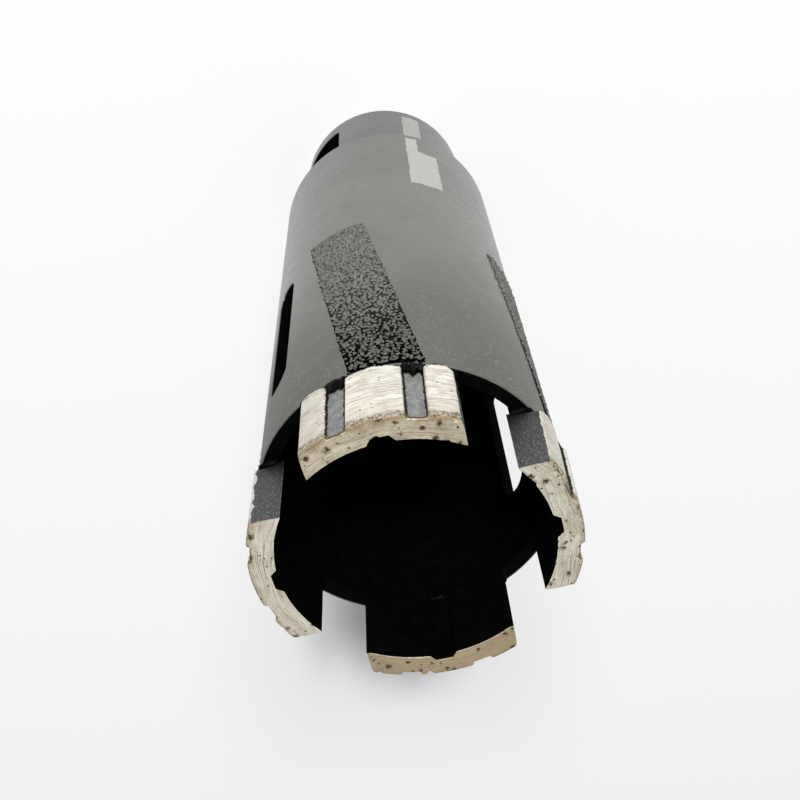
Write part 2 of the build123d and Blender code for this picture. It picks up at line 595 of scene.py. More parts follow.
@dataclass(frozen=True)
class GroundRibs:
    """The segment's outer face: ribs ground bright, and grooves that kept their paint."""

    name: str
    seed: float
    metal: Colour = (0.71, 0.685, 0.62)
    warm: Colour = (0.52, 0.475, 0.375)
    worn: Colour = (0.42, 0.39, 0.33)
    scratch: Colour = (0.165, 0.14, 0.10)
    pit: Colour = (0.028, 0.022, 0.015)
    floor: Colour = (0.128, 0.130, 0.127)
    floor_dust: Colour = (0.21, 0.21, 0.205)
    wall: Colour = (0.006, 0.006, 0.006)
    burnt: Colour = (0.125, 0.092, 0.052)
    groove_half: float = 1.42
    metal_share: float = 0.25
    line_depth: float = 0.035
    grain_depth: float = 0.02

    def metal_look(self, graph: NodeGraph, aside: Value, up: Value) -> tuple[Value, Value]:
        """Colour of the ground metal, and the pattern of its grinding lines."""
        lean = aside + 8.0
        along = aside * 0.24
        across = (up - lean * lean * 0.0035 + graph.waver(-0.35, 0.35, 0.25)) * 3.2
        lines = graph.noise(1.0, 4.0, 0.62, graph.vector(along, across, self.seed))
        tone = lines.span(0.42, 0.62, 0.0, 0.85)
        tone = tone + graph.noise(0.35, 3.0, 0.6).span(0.45, 0.7, 0.0, 0.45)
        finer = graph.vector(along, across * 1.7, self.seed + 4.0)
        thin = graph.noise(1.0, 4.0, 0.7, finer).span(0.545, 0.645, 0.0, 0.95)
        broken = graph.noise(0.8).span(0.40, 0.60, 0.2, 1.0)
        metal = graph.layered(
            self.metal,
            ((SEGMENT_HEIGHT - up).step(6.5, 0.5) * 0.55, self.warm),
            (tone, self.worn),
            # painted shade: the ribs darken towards +aside, the side that faces away from the light
            (aside.step(4.5, 10.5) * 0.42, self.worn),
            (thin * broken, self.scratch),
            (graph.dots(0.95, 0.26, 0.19) * 0.85, self.pit),
            (graph.noise(4.2, 2.0, 0.75).span(0.62, 0.72, 0.0, 0.8), self.scratch),
        )
        return metal, lines

    def groove_look(self, graph: NodeGraph, spot: tuple[Value, ...], ragged: Value) -> Value:
        """Colour of a painted groove: grey floor, black walls, and a round end short of the top."""
        aside, depth, up = spot
        off = abs(abs(aside) - GROOVE_ASIDE)
        run_out = SEGMENT_HEIGHT - up - (off / self.groove_half) ** 4.0 * 0.75 + ragged
        on_floor = (depth + ragged).step(GROOVE_DEPTH - 0.17, GROOVE_DEPTH - 0.09)
        dusty = graph.noise(1.1, 4.0, 0.7).span(0.40, 0.62, 0.0, 1.0)
        beside = (off + ragged * 1.6).step(self.groove_half - 0.20, self.groove_half - 0.08)
        return graph.layered(
            self.wall,
            (on_floor, graph.mix(dusty, self.floor, self.floor_dust)),
            (beside, self.wall),
            ((up + ragged * 5.0).step(2.6, 1.5), self.wall),
            (run_out.step(0.34, 0.22), self.wall),
            (run_out.step(0.20, 0.10), self.burnt),
        )

    def material(self) -> Material:
        """The outer face's finish as a material."""
        graph = NodeGraph(self.name)
        aside, depth, up = graph.spot()
        ragged = graph.waver(-0.11, 0.11, 1.5, 3.0, 0.65)
        metal, lines = self.metal_look(graph, aside, up)

        # the edge next to the cutting face is burnt and pitted
        edge = (SEGMENT_HEIGHT - up + graph.waver(-0.45, 0.45, 0.9, 3.0, 0.65)).step(1.70, 0.80)
        speckled = graph.noise(2.6, 3.0, 0.7).span(0.42, 0.60, 0.35, 1.0)

        # black braze creeps up from the joint, further in some places than in others
        foot = graph.vector(aside * 0.42, self.seed, 0.0)
        crust = graph.noise(1.0, 4.0, 0.68, foot).span(0.36, 0.68, 0.0, 0.95)
        metal = graph.layered(
            metal,
            (edge * speckled, self.burnt),
            (edge * graph.dots(1.4, 0.7, 0.22), self.pit),
            ((crust - up).step(-0.06, 0.06), self.wall),
        )

        groove = self.groove_look(graph, (aside, depth, up), ragged)
        bare = (depth + ragged).step(0.30, 0.19)
        normal = graph.bump(lines * bare, self.line_depth)
        return graph.dress(
            Base_Color=graph.mix(bare, groove, metal),
            Metallic=bare * (1.0 - edge) * self.metal_share,
            Roughness=(lines.span(0.3, 0.8, 0.36, 0.55) + edge * 0.5).limited(),
            Normal=graph.bump(graph.noise(3.0, 3.0, 0.65), self.grain_depth, normal),
            Specular_IOR_Level=0.1,
        )


@dataclass(frozen=True)
class CutFace:
    """The segment's worn cutting face: bare metal and diamond, streaked, pitted and browned."""

    name: str
    seed: float
    matrix: Colour
    browning: float
    pitting: float
    streak: float
    brown: Colour = (0.235, 0.175, 0.098)
    pit: Colour = (0.028, 0.022, 0.013)
    bright: Colour = (0.62, 0.60, 0.53)
    wall: float = 4.2
    metal_share: float = 0.25
    pit_depth: float = 0.09
    grain_depth: float = 0.05

    def worn_colour(self, graph: NodeGraph, streaks: Value, fine: Value) -> Value:
        """Colour of the bare metal with its streaks, stains and dark grains."""
        grey = tuple(0.70 * value + 0.03 for value in self.matrix)
        stained = graph.noise(0.22, 4.0, 0.62).span(0.44, 0.66, 0.0, 1.0) * self.browning
        return graph.layered(
            self.matrix,
            (streaks.span(0.40, 0.62, 0.0, self.streak), grey),
            (stained, self.brown),
            (fine.span(0.51, 0.64, 0.0, 0.90 * self.streak), self.brown),
            (graph.noise(4.0, 2.0, 0.7).span(0.55, 0.69, 0.0, 0.55), self.pit),
        )

    def material(self) -> Material:
        """The cutting face's finish as a material."""
        graph = NodeGraph(self.name)
        aside, depth, _ = graph.spot()
        along = aside * 0.20
        across = (depth + graph.noise(0.12) * 3.0) * 2.1
        streaks = graph.noise(1.0, 4.0, 0.62, graph.vector(along, across, self.seed))
        fine = graph.noise(1.0, 3.0, 0.7, graph.vector(along, across * 2.2, self.seed))

        # the outer edge is burnt and full of small pits, and the inner edge is lightened by a painted
        # highlight
        frayed = graph.waver(-0.35, 0.35, 0.8, 3.0, 0.65)
        rim = (depth + frayed).step(1.05, 0.25)
        patchy = graph.noise(0.5, 4.0, 0.68).span(0.40, 0.60, 0.0, 1.0)
        wide = (depth + frayed * 2.0).step(2.6, 0.6)
        rubbed_and_highlight = (depth + frayed * 0.2).step(self.wall - 0.28, self.wall - 0.1)

        # large pits with a brown halo, and small ones everywhere
        rim_pits = rim * graph.dots(1.25, 0.60, 0.27)
        pits = graph.dots(0.55, self.pitting, 0.24, 0.15).larger(rim_pits)
        pits = pits.larger(graph.dots(1.1, 0.24, 0.21))
        colour = graph.layered(
            self.worn_colour(graph, streaks, fine),
            (rim * (0.30 + self.browning * 0.75), self.brown),
            (wide * patchy * self.browning, self.brown),
            # painted highlight along the inner edge
            (rubbed_and_highlight * 0.35, self.bright),
            (graph.dots(0.55, self.pitting, 0.40, 0.16) * 0.60, self.brown),
            (pits, self.pit),
        )

        dull = pits.larger(rim)
        normal = graph.bump(streaks * 0.5 - pits, self.pit_depth)
        return graph.dress(
            Base_Color=colour,
            Metallic=(1.0 - dull) * self.metal_share,
            Roughness=(fine.span(0.3, 0.7, 0.42, 0.62) + dull * 0.4).limited(),
            Normal=graph.bump(graph.noise(3.2, 3.0, 0.65), self.grain_depth, normal),
        )


@dataclass(frozen=True)
class PaintedSide:
    """The segment's side: painted, gritty, darker towards the root, and worn bare next to the outer
    face.
    """

    name: str
    seed: float
    rubbed_and_highlight: float
    paint: Colour = (0.015, 0.016, 0.016)
    grit: Colour = (0.165, 0.17, 0.17)
    root_dark: Colour = (0.004, 0.004, 0.004)
    paint_edge: Colour = (0.02, 0.018, 0.014)
    metal: Colour = (0.42, 0.425, 0.39)

    def material(self) -> Material:
        """The side's finish as a material."""
        graph = NodeGraph(self.name)
        _, depth, up = graph.spot()
        gritty = graph.noise(3.3, 3.0, 0.75).span(0.50, 0.70, 0.0, 1.0)
        root = (up + graph.waver(-0.8, 0.8, 0.7)).step(5.0, 0.6)
        at = graph.vector(up * 0.45, self.seed, 0.0)
        off = graph.waver(0.0, self.rubbed_and_highlight * 2.0, 1.0, 4.0, 0.7, at) - depth
        colour = graph.layered(
            self.paint,
            (gritty * up.span(1.0, 12.0, 0.25, 1.0), self.grit),
            # darker towards the root
            (root * 0.85, self.root_dark),
            (off.step(-0.07, -0.03), self.paint_edge),
            (off.step(-0.01, 0.03), self.metal),
        )
        return graph.dress(
            Base_Color=colour,
            Roughness=graph.waver(0.34, 0.52, 2.0),
            Normal=graph.bump(graph.noise(2.6, 3.0, 0.7), 0.06),
            Specular_IOR_Level=0.4,
        )


@dataclass(frozen=True)
class GritPaint:
    """Black paint over brazed carbide grit: grey on the grains' tops, near black between them as
    painted shade, with painted glints.
    """

    name: str = "painted_grit"
    deep: Colour = (0.0008, 0.0008, 0.0007)
    filled: Colour = (0.054, 0.055, 0.049)
    top: Colour = (0.100, 0.102, 0.092)
    pale: Colour = (0.185, 0.185, 0.168)
    shaded: Colour = (0.014, 0.014, 0.012)
    speck_and_glint: Colour = (0.40, 0.40, 0.38)
    filled_zone: tuple[float, float] = (143.0, 90.0)
    shaded_zone: tuple[float, float] = (116.0, 141.0)
    deep_radius: float = 24.99
    top_radius: float = 25.13
    gloss: float = 0.0

    def material(self) -> Material:
        """The grit's finish as a material."""
        graph = NodeGraph(self.name)
        radius, angle, height = graph.cylinder()
        at = graph.vector(angle * 20.0, 0.0, height * 1.5)
        uneven = graph.waver(-0.11, 0.11, 1.0, 3.0, 0.6, at)

        # towards the rear the paint lies thicker, and fills the gaps between the grains
        filled = height.step(*self.filled_zone)
        # the colour falls to near black below the grains' tops: painted shade in the gaps between the
        # grains
        raised = (radius + uneven + filled * 0.13).step(self.deep_radius, self.top_radius)
        top = graph.layered(
            self.top,
            (graph.noise(1.3, 3.0, 0.7).span(0.35, 0.68, 0.0, 1.0), self.pale),
            (height.step(*self.shaded_zone) * 0.30, self.shaded),
        )
        # painted glints: small light specks on the grit
        bright = graph.noise(1.5, 2.0, 0.7).span(0.66, 0.76, 0.0, 0.6)
        return graph.dress(
            Base_Color=graph.layered(
                self.deep, (filled, self.filled), (raised, top), (bright, self.speck_and_glint)
            ),
            Roughness=graph.waver(0.40, 0.60, 2.5),
            Normal=graph.bump(graph.noise(2.6, 3.0, 0.6), 0.05),
            Specular_IOR_Level=self.gloss,
        )


@dataclass(frozen=True)
class BurntBraze:
    """Rough black joint where a segment meets the tube's rim, with a few glints outside."""

    name: str = "burnt_joint"
    colour: Colour = (0.0016, 0.0016, 0.0014)
    glint: Colour = (0.15, 0.15, 0.14)
    glint_zone: tuple[float, float] = (24.2, 24.8)
    gloss: float = 0.03

    def material(self) -> Material:
        """The joint's finish as a material."""
        graph = NodeGraph(self.name)
        radius, _, _ = graph.cylinder()
        glints = graph.noise(2.2, 3.0, 0.7).span(0.62, 0.76, 0.0, 0.45)
        return graph.dress(
            Base_Color=graph.mix(glints * radius.step(*self.glint_zone), self.colour, self.glint),
            Roughness=0.45,
            Normal=graph.bump(graph.noise(2.0, 4.0, 0.65), 0.10),
            Specular_IOR_Level=self.gloss,
        )


@dataclass(frozen=True)
class CutThread:
    """Bright cut steel of the spindle thread, dulled by oil."""

    name: str = "cut_thread"
    colour: Colour = (0.36, 0.35, 0.33)
    dark: Colour = (0.12, 0.11, 0.10)

    def material(self) -> Material:
        """The thread's finish as a material."""
        graph = NodeGraph(self.name)
        stain = graph.noise(0.7, 4.0, 0.6).span(0.4, 0.7, 0.0, 1.0)
        _, _, height = graph.cylinder()
        at = graph.vector(0.0, 0.0, height * 9.0)
        return graph.dress(
            Base_Color=graph.mix(stain, self.colour, self.dark),
            Metallic=1.0,
            Roughness=stain.span(0.0, 1.0, 0.30, 0.55),
            Normal=graph.bump(graph.noise(1.0, at=at), 0.01),
        )


# ---------------------------- turned tubes


@dataclass(frozen=True)
class Opening:
    """A hole with round corners, cut straight through one wall of a tube."""

    angle: float
    middle: float
    half_width: float
    half_height: float
    corner: float
    edge_break: float
    margin_columns: int
    margin_height: float

    def outline(self, aside: float, height: float, grow: float) -> tuple[float, float]:
        """The outline's nearest point to a place on the wall.

        Args:
            aside: The place's distance from the opening's middle line.
            height: The place's height.
            grow: How far the outline is grown.

        Returns:
            The point's distance from the middle line and its height.
        """
        core_width = self.half_width - self.corner
        core_height = self.half_height - self.corner
        near_x = clamp(aside, -core_width, core_width)
        near_z = clamp(height - self.middle, -core_height, core_height)
        off_x = aside - near_x
        off_z = height - self.middle - near_z
        reach = (self.corner + grow) / hypot(off_x, off_z)
        return near_x + off_x * reach, self.middle + near_z + off_z * reach

    def low(self) -> float:
        """The height at which the surrounding patch starts."""
        return self.middle - self.half_height - self.margin_height

    def high(self) -> float:
        """The height at which the surrounding patch ends."""
        return self.middle + self.half_height + self.margin_height


@dataclass
class TurnedShell:
    """A closed turned shape whose tube wall may be pierced by openings."""

    outer_radius: float
    inner_radius: float
    outer_heights: list[float]
    inner_heights: list[float]
    over: Places
    under: Places
    openings: list[Opening] = field(default_factory=list)
    columns: int = 240

    def ring(self, draft: MeshDraft, radius: float, height: float) -> list[int]:
        """Adds one ring of points."""
        turn = tau / self.columns
        return draft.row([polar(radius, turn * index, height) for index in range(self.columns)])

    def block(self, opening: Opening) -> tuple[int, int]:
        """First and last column of the patch that surrounds an opening."""
        turn = 360.0 / self.columns
        middle = round(opening.angle / turn)
        reach = degrees(asin(opening.half_width / self.outer_radius)) / turn
        half = ceil(reach) + opening.margin_columns
        return middle - half, middle + half

    def wall(self, draft: MeshDraft, radius: float, heights: list[float]) -> list[list[int]]:
        """Adds a tube wall, less its patches.

        Args:
            draft: The mesh that it goes into.
            radius: The wall's radius.
            heights: The heights of its rings.

        Returns:
            The rings, from the first height to the last.
        """
        rings = [self.ring(draft, radius, height) for height in heights]
        patches = [(self.block(opening), opening) for opening in self.openings]
        for row, (low, high) in enumerate(zip(rings, rings[1:])):
            middle = (heights[row] + heights[row + 1]) / 2
            for column in range(self.columns):
                covered = any(
                    opening.low() < middle < opening.high()
                    and (column - first) % self.columns < last - first
                    for (first, last), opening in patches
                )
                if not covered:
                    after = (column + 1) % self.columns
                    draft.face((low[column], low[after], high[after], high[column]))
        return rings

    def border(
        self, rings: list[list[int]], heights: list[float], opening: Opening
    ) -> tuple[list[int], Places]:
        """The points round an opening's patch, and their places on the outer wall.

        Args:
            rings: The wall's rings.
            heights: The rings' heights.
            opening: The opening.

        Returns:
            The point numbers, in order, and each one's arc aside and height.
        """
        first, last = self.block(opening)
        rows = [
            row
            for row, height in enumerate(heights)
            if opening.low() - MESH_STEP <= height <= opening.high() + MESH_STEP
        ]
        rows.sort(key=lambda row: heights[row])
        around = [(rows[0], column) for column in range(first, last)]
        around += [(row, last) for row in rows[:-1]]
        around += [(rows[-1], column) for column in range(last, first, -1)]
        around += [(row, first) for row in reversed(rows[1:])]
        turn = tau / self.columns
        numbers = [rings[row][column % self.columns] for row, column in around]
        places = [
            ((turn * column - radians(opening.angle)) * self.outer_radius, heights[row])
            for row, column in around
        ]
        return numbers, places

    def ring_round(
        self,
        draft: MeshDraft,
        opening: Opening,
        places: Places,
        radius: float,
        grow: float,
        share: float = 1.0,
    ) -> list[int]:
        """Adds a ring of points round an opening, on its outline or short of it.

        Args:
            draft: The mesh that it goes into.
            opening: The opening.
            places: The arc aside and the height of each point of the patch's border.
            radius: The ring's radius from the bit's axis.
            grow: How far the outline is grown.
            share: How far the ring lies on the way from the border to the outline.

        Returns:
            The ring's point numbers.
        """
        points = []
        for aside, height in places:
            x, z = opening.outline(aside, height, grow)
            border = aside / self.outer_radius
            angle = border + (asin(x / radius) - border) * share + radians(opening.angle)
            points.append(polar(radius, angle, height + (z - height) * share))
        return draft.row(points)

    def pierce(
        self,
        draft: MeshDraft,
        opening: Opening,
        outer: tuple[list[int], Places],
        inner: tuple[list[int], Places],
    ) -> None:
        """Fills an opening's patches and lines its walls.

        Args:
            draft: The mesh that they go into.
            opening: The opening.
            outer: The outer patch's border: its point numbers and their places.
            inner: The inner patch's border, likewise.
        """
        edge, near, far = opening.edge_break, self.outer_radius, self.inner_radius
        flat = edge * PATCH_REACH
        rounding = [radians(turn) for turn in (0.0, 30.0, 60.0, 90.0)]
        stops = [(outer[1], near, flat, share) for share in PATCH_SHARES]
        stops += [
            (outer[1], near - edge * (1.0 - cos(turn)), edge * (1.0 - sin(turn)), 1.0)
            for turn in rounding
        ]
        stops += [(outer[1], near - depth, 0.0, 1.0) for depth in (edge * 2.0, (near - far) / 2)]
        stops += [
            (outer[1], far + edge * inset, edge * grow, 1.0)
            for inset, grow in ((1.0, 0.0), (0.3, 0.3), (0.0, 1.0))
        ]
        stops += [(inner[1], far, flat, share) for share in reversed(PATCH_SHARES[:-1])]
        rows = [self.ring_round(draft, opening, *stop) for stop in stops]
        draft.grid([outer[0], *rows, inner[0]], closed=True)

    def draft(self) -> MeshDraft:
        """The whole closed shape."""
        draft = MeshDraft()
        outer = self.wall(draft, self.outer_radius, self.outer_heights)
        inner = self.wall(draft, self.inner_radius, self.inner_heights)
        over = [self.ring(draft, radius, height) for radius, height in self.over]
        under = [self.ring(draft, radius, height) for radius, height in self.under]
        draft.grid([outer[-1], *over, inner[0]], closed=True)
        draft.grid([inner[-1], *under, outer[0]], closed=True)
        for opening in self.openings:
            around = self.border(outer, self.outer_heights, opening)
            inside = self.border(inner, self.inner_heights, opening)
            self.pierce(draft, opening, around, inside)
        return draft

    def painted(self, name: str, *paints: SatinPaint | BorePaintAndShade) -> Object:
        """The shape as a piece, which may carry several paints."""
        return self.draft().to_object(name, [paint.material() for paint in paints], crease=50.0)


def rows_between(start: float, end: float, openings: list[Opening], step: float) -> list[float]:
    """Ring heights from start to end that fall on every patch's two ends."""
    marks = sorted(
        {start, end}
        | {opening.low() for opening in openings}
        | {opening.high() for opening in openings}
    )
    return joined(*(spaced(low, high, step) for low, high in zip(marks, marks[1:])))


# ---------------------------- barrel and hub


@dataclass
class Barrel:
    """The drawn steel tube with its two side slots."""

    radius: float = BARREL_RADIUS
    bore: float = BORE_RADIUS
    low: float = NECK_LENGTH
    high: float = RIM_HEIGHT
    rear_break: float = 0.4
    rim_break: float = 0.12
    row_step: float = 1.6
    slot_angles: tuple[float, float] = (0.0, 180.0)
    slot_width: float = 6.2
    slot_length: float = 38.0
    slot_middle: float = 109.0
    slot_edge: float = 0.2
    slot_margin: tuple[int, float] = (4, 3.5)  # columns, and height, of finer mesh round a slot
    outside: SatinPaint = SatinPaint()
    inside: BorePaintAndShade = BorePaintAndShade()

    def slots(self) -> list[Opening]:
        """The two side slots, with round ends."""
        half = self.slot_width / 2
        shape = (self.slot_middle, half, self.slot_length / 2, half, self.slot_edge)
        return [Opening(angle, *shape, *self.slot_margin) for angle in self.slot_angles]

    def shell(self) -> TurnedShell:
        """The tube's closed shape."""
        slots, rim, rear = self.slots(), self.rim_break, self.rear_break
        corner = [(0.0, 1.0), (0.3, 0.3), (1.0, 0.0), (2.0, 0.0)]  # inset and drop, in edge breaks
        over = [(self.radius - rim * inset, self.high - rim * drop) for inset, drop in corner]
        over.append(((self.radius + self.bore) / 2, self.high))
        over += [(self.bore + rim * inset, self.high - rim * drop) for inset, drop in corner[::-1]]
        outer, inner = (
            rows_between(low, self.high - rim * 2, slots, self.row_step)
            for low in (self.low + rear + 0.15, self.low + 0.2)
        )
        return TurnedShell(
            outer_radius=self.radius,
            inner_radius=self.bore,
            outer_heights=outer,
            inner_heights=inner[::-1],
            over=over,
            under=[
                (self.bore, self.low),
                (self.radius - rear - 0.15, self.low),
                (self.radius - rear, self.low),
                (self.radius, self.low + rear),
            ],
            openings=slots,
        )

    def build(self) -> Object:
        """Makes the tube and dresses its outside and its bore."""
        piece = self.shell().painted("barrel_tube", self.outside, self.inside)
        paint_inside(piece, self.radius - 0.25, self.low + 0.5)
        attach(piece, ROOT_BODY)
        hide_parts("barrel")
        return piece


def paint_inside(piece: Object, radius: float, low: float) -> None:
    """Gives the second finish to faces that lie inside a radius and above a height, in mm."""
    for face in piece.data.polygons:
        middle = face.center
        if hypot(middle.x, middle.y) < radius * MM and middle.z > low * MM:
            face.material_index = 1


@dataclass
class HubAdapter:
    """The turned hub: spigot, neck with two windows, end plate and threaded boss."""

    neck_radius: float = NECK_RADIUS
    neck_bore: float = 17.2
    neck_length: float = NECK_LENGTH
    edge_break: float = 0.3
    spigot_radius: float = BORE_RADIUS
    spigot_top: float = 37.5
    plate: float = 5.0
    boss_radius: float = 11.0
    boss_top: float = 20.0
    thread_radius: float = 7.0
    lead_in: float = 0.6
    row_step: float = 1.4
    window_angles: tuple[float, float] = (0.0, 180.0)
    window_width: float = 18.8
    window_low: float = 5.5
    window_high: float = 27.0
    window_corner: float = 1.5
    window_edge: float = 0.15
    window_margin: tuple[int, float] = (3, 0.42)
    outside: SatinPaint = SatinPaint()
    inside: BorePaintAndShade = BorePaintAndShade()

    def windows(self) -> list[Opening]:
        """The two windows through the neck."""
        middle = (self.window_low + self.window_high) / 2
        halves = (self.window_width / 2, (self.window_high - self.window_low) / 2)
        shape = (middle, *halves, self.window_corner, self.window_edge)
        return [Opening(angle, *shape, *self.window_margin) for angle in self.window_angles]

    def shell(self) -> TurnedShell:
        """The hub's closed shape."""
        windows, top = self.windows(), self.neck_length
        neck, bore, broken = self.neck_radius, self.neck_bore, self.edge_break
        boss, thread, lead = self.boss_radius, self.thread_radius, self.lead_in
        spigot, tall = self.spigot_radius - 0.02, self.boss_top
        outer = rows_between(broken + 0.3, top - 0.1, windows, self.row_step)
        inner = rows_between(self.plate + 0.04, self.spigot_top - 0.3, windows, self.row_step)
        return TurnedShell(
            outer_radius=neck,
            inner_radius=bore,
            outer_heights=outer,
            inner_heights=inner[::-1],
            over=[
                (neck, top),
                (spigot, top),
                (spigot, top + 0.2),
                (spigot, self.spigot_top - 0.3),
                (self.spigot_radius - 0.32, self.spigot_top),
                (bore + 0.3, self.spigot_top),
            ],
            under=[
                *((radius, self.plate) for radius in (bore, bore - 0.3, boss + 0.3, boss)),
                *((boss, height) for height in (self.plate + 0.3, tall - 0.6, tall - 0.4)),
                *((radius, tall) for radius in (boss - 0.4, boss - 0.6, thread + 0.2, thread)),
                *((thread, height) for height in (tall - 0.2, lead + 0.2, lead)),
                *((thread + lead + reach, 0.0) for reach in (0.0, 0.2)),
                *((neck - broken - reach, 0.0) for reach in (0.3, 0.0)),
                (neck, broken),
            ],
            openings=windows,
        )

    def build(self) -> Object:
        """Makes the hub and dresses its outside and its hollow."""
        piece = self.shell().painted("hub_body", self.outside, self.inside)
        paint_inside(piece, self.neck_radius - 0.2, 0.7)
        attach(piece, ROOT_BODY)
        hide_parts("hub_adapter")
        return piece


@dataclass
class SpindleThread:
    """The ridges of the spindle thread, in the boss's bore."""

    major_radius: float = 7.0
    crest_radius: float = 5.92
    pitch: float = 2.0
    low: float = 1.0
    high: float = 19.0
    crest_flat: float = 0.25
    finish: CutThread = CutThread()

    def tree(self) -> GeometryNodeTree:
        """The nodes that sweep the ridge's section along a helix."""
        tree = GrowthTree("thread_ridge", ("Turns", "Radius", "Height", "Low"))
        inputs = {
            "Resolution": 72,
            "Rotations": tree.given("Turns"),
            "Start Radius": tree.given("Radius"),
            "End Radius": tree.given("Radius"),
            "Height": tree.given("Height"),
        }
        helix = tree.add("GeometryNodeCurveSpiral", inputs)
        upright = tree.add("GeometryNodeSetCurveNormal", {"Curve": helix}, mode="Z_UP")
        inputs = {"Curve": upright, "Profile Curve": tree.given("Geometry"), "Fill Caps": True}
        ridge = tree.add("GeometryNodeCurveToMesh", inputs)
        lift = tree.add("ShaderNodeCombineXYZ", {"Z": tree.given("Low")})
        moved = tree.add("GeometryNodeTransform", {"Geometry": ridge, "Translation": lift})
        return tree.finished(moved, self.finish.material())

    def section(self) -> Object:
        """The ridge's section as a closed curve: X runs outwards or inwards, Y along the axis."""
        depth = self.major_radius - self.crest_radius
        root_half = self.pitch / 2 - 0.14
        crest_half = self.crest_flat / 2
        corners = [(0.04, -root_half), (0.04, root_half), (-depth, crest_half), (-depth, -crest_half)]
        curve = bpy.data.curves.new("ridge_section", "CURVE")
        spline = curve.splines.new("POLY")
        spline.points.add(len(corners) - 1)
        for point, (x, y) in zip(spline.points, corners):
            point.co = (-x * MM, y * MM, 0.0, 1.0)
        spline.use_cyclic_u = True
        return linked("ridge_section", curve)

    def build(self) -> Object:
        """Makes the thread's ridges."""
        height = self.high - self.low
        values = {
            "Turns": height / self.pitch,
            "Radius": self.major_radius * MM,
            "Height": height * MM,
            "Low": self.low * MM,
        }
        piece = grown("spindle_thread", self.section(), self.tree(), values)
        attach(piece, ROOT_BODY)
        return piece


def grown(
    name: str,
    holder: Object,
    tree: GeometryNodeTree,
    values: dict[str, float],
) -> Object:
    """Runs a node tree on an object and keeps its result as a plain mesh.

    Args:
        name: The new piece's name.
        holder: The object that it runs on, which is removed afterwards.
        tree: The tree to run.
        values: The tree's inputs by name.

    Returns:
        The new piece, at the origin.
    """
    modifier = holder.modifiers.new(tree.name, "NODES")
    modifier.node_group = tree
    for item in tree.interface.items_tree:
        if item.in_out == "INPUT" and item.name in values:
            modifier[item.identifier] = values[item.name]
    bpy.context.view_layer.update()
    graph = bpy.context.evaluated_depsgraph_get()
    mesh = bpy.data.meshes.new_from_object(
        holder.evaluated_get(graph), preserve_all_data_layers=True, depsgraph=graph
    )
    mesh.name = name
    holder.modifiers.remove(modifier)
    bpy.data.objects.remove(holder)
    return linked(name, mesh)


@dataclass
class WeldBead:
    """The fillet weld round the barrel's rear end, laid in overlapping ripples."""

    neck_radius: float = NECK_RADIUS
    seat: float = NECK_LENGTH
    leg: float = 2.6
    crown: float = 0.3
    ripple: float = 1.7
    ripple_depth: float = 0.13
    wobble: float = 0.10
    bend: float = 0.55
    stops: int = 12
    columns: int = 480
    finish: SatinPaint = SatinPaint(name="painted_weld", grain_depth=0.03, peel_depth=0.05)

    def section_point(self, share: float, angle: float) -> Point:
        """Point of the bead's rounded face, a share of the way from the neck to the barrel."""
        along = share * sqrt(2.0) * self.leg
        middle = sqrt(2.0) * self.leg / 2
        rise = self.crown * (1.0 - ((along - middle) / middle) ** 2)
        arc = angle * (self.neck_radius + 1.3)
        bend = self.bend * abs(share - 0.5) * self.ripple
        phase = ((arc + bend) / self.ripple) % 1.0
        scale = sin(pi * share) * self.ripple_depth
        rise += scale * (sqrt(max(0.0, 1.0 - (phase * 2.0 - 1.0) ** 2)) - 0.7)
        uneven = lumpy(cos(angle) * 6.0, sin(angle) * 6.0, share * 1.5)
        rise += self.wobble * uneven * sin(pi * share)
        out = share * self.leg + rise / sqrt(2.0)
        down = (1.0 - share) * self.leg + rise / sqrt(2.0)
        return polar(self.neck_radius + out, angle, self.seat - down)

    def build(self) -> Object:
        """Makes the bead."""
        draft = MeshDraft()
        turns = [tau / self.columns * index for index in range(self.columns)]
        rows = [
            draft.row([self.section_point(share, turn) for turn in turns])
            for share in spaced(0.0, 1.0, 1.0 / self.stops)
        ]
        corner = draft.row([polar(self.neck_radius, turn, self.seat) for turn in turns])
        draft.grid([corner, *rows, corner], closed=True)
        piece = draft.to_object("weld_bead", [self.finish.material()], crease=70.0)
        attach(piece, ROOT_BODY)
        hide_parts("hub_weld_bead")
        return piece


# ---------------------------- segments


@dataclass(frozen=True)
class Stand:
    """How a segment really stands on the rim: small errors of brazing by hand, and its own looks."""

    outwards: float
    aside: float
    half_width: float
    # the cutting face's matrix colour: partly the metal's own tone, partly painted light
    matrix: Colour
    browning: float
    pitting: float
    rubbed_and_highlight: float
    turn: float = 0.0
    streak: float = 0.9
    taper: float = 0.0
    corner: float = 0.24


